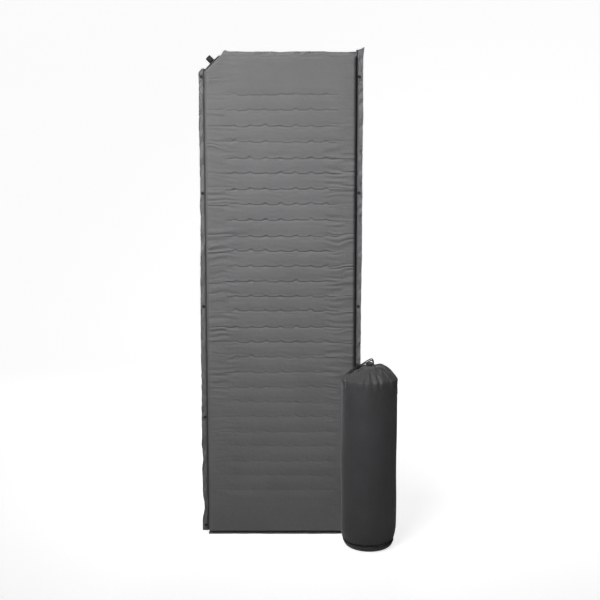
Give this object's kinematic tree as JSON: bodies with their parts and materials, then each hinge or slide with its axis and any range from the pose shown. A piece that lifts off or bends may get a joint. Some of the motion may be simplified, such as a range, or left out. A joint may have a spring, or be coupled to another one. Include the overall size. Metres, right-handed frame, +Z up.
{
  "type": "self-inflating sleeping pad",
  "caption": "Upright self-inflating sleeping pad with snap flanges and a corner twist valve, and its full round stuff sack with drawcord and cord lock.",
  "frame": {"origin": "middle of the pad's foot end, in the middle of its thickness, on the floor", "axes": "+Z up along the pad from foot to head, -Y out of the face that is lain on, +X towards the sack"},
  "size_m": [0.7595, 0.276, 1.9],
  "materials": {
    "pad_cloth": "matt grey plain-weave polyester, coated inside",
    "foam": "open-cell foam",
    "snap_black": "black moulded snap",
    "moulded_black": "black moulded, lightly textured",
    "seal_rubber": "smooth rubber",
    "sack_cloth": "dark grey coated nylon, slight sheen",
    "binding_tape": "black woven tape",
    "spring_steel": "drawn wire",
    "cord_black": "braided black cord"
  },
  "bodies": {
    "pad": {"front_sheet": "pad_cloth", "back_sheet": "pad_cloth", "foam_core": "foam", "head_flange": "pad_cloth", "foot_flange": "pad_cloth", "valve_body": "moulded_black", "valve_o_ring": "seal_rubber", "valve_plug": "moulded_black"},
    "left_flange": {"flange_left": "pad_cloth", "snap_cap_1": "snap_black", "snap_cap_2": "snap_black", "snap_cap_3": "snap_black", "snap_cap_4": "snap_black", "snap_cap_5": "snap_black", "snap_stud_1": "snap_black", "snap_stud_2": "snap_black", "snap_stud_3": "snap_black", "snap_stud_4": "snap_black", "snap_stud_5": "snap_black"},
    "right_flange": {"flange_right": "pad_cloth", "snap_socket_1": "snap_black", "snap_socket_2": "snap_black", "snap_socket_3": "snap_black", "snap_socket_4": "snap_black", "snap_socket_5": "snap_black", "snap_eyelet_1": "snap_black", "snap_eyelet_2": "snap_black", "snap_eyelet_3": "snap_black", "snap_eyelet_4": "snap_black", "snap_eyelet_5": "snap_black"},
    "knob_carrier": {"knob_washer": "seal_rubber"},
    "knob": {"valve_knob": "moulded_black"},
    "sack": {"sack_side": "sack_cloth", "sack_base": "sack_cloth", "base_binding": "binding_tape", "sack_mouth": "sack_cloth", "hem_channel": "sack_cloth", "rolled_pad": "pad_cloth", "roll_strap": "binding_tape", "drawcord": "cord_black"},
    "cord_lock": {"lock_barrel": "moulded_black", "lock_spring": "spring_steel"},
    "lock_button": {"lock_plunger": "moulded_black"}
  },
  "joints": [
    {"name": "left_flange_fold", "type": "hinge", "parent": "pad", "child": "left_flange", "pos_m": [-0.291, 0, 0.95], "axis": [0, 0, 1], "range_deg": [-60, 60]},
    {"name": "right_flange_fold", "type": "hinge", "parent": "pad", "child": "right_flange", "pos_m": [0.291, 0, 0.95], "axis": [0, 0, 1], "range_deg": [-60, 60]},
    {"name": "knob_rise", "type": "slide", "parent": "pad", "child": "knob_carrier", "axis": [-0.7071, 0, 0.7071], "range_m": [0, 0.003]},
    {"name": "knob_turn", "type": "hinge", "parent": "knob_carrier", "child": "knob", "pos_m": [-0.25646, 0, 1.85054], "axis": [-0.7071, 0, 0.7071], "range_deg": [0, 270]},
    {"name": "sack_away", "type": "slide", "parent": "pad", "child": "sack", "axis": [1, 0, 0], "range_m": [0, 0.25]},
    {"name": "lock_slide", "type": "slide", "parent": "sack", "child": "cord_lock", "axis": [-0.891, 0, -0.454], "range_m": [-0.01, 0.006]},
    {"name": "button_press", "type": "slide", "parent": "cord_lock", "child": "lock_button", "axis": [0, 1, 0], "range_m": [0, 0.0035], "stiffness_N_per_m": 300, "springref_m": -0.002, "deforming": ["lock_spring"]}
  ],
  "couplings": [
    {"joint": "knob_turn", "follows": "knob_rise", "rad_per_m": 1570.8}
  ]
}
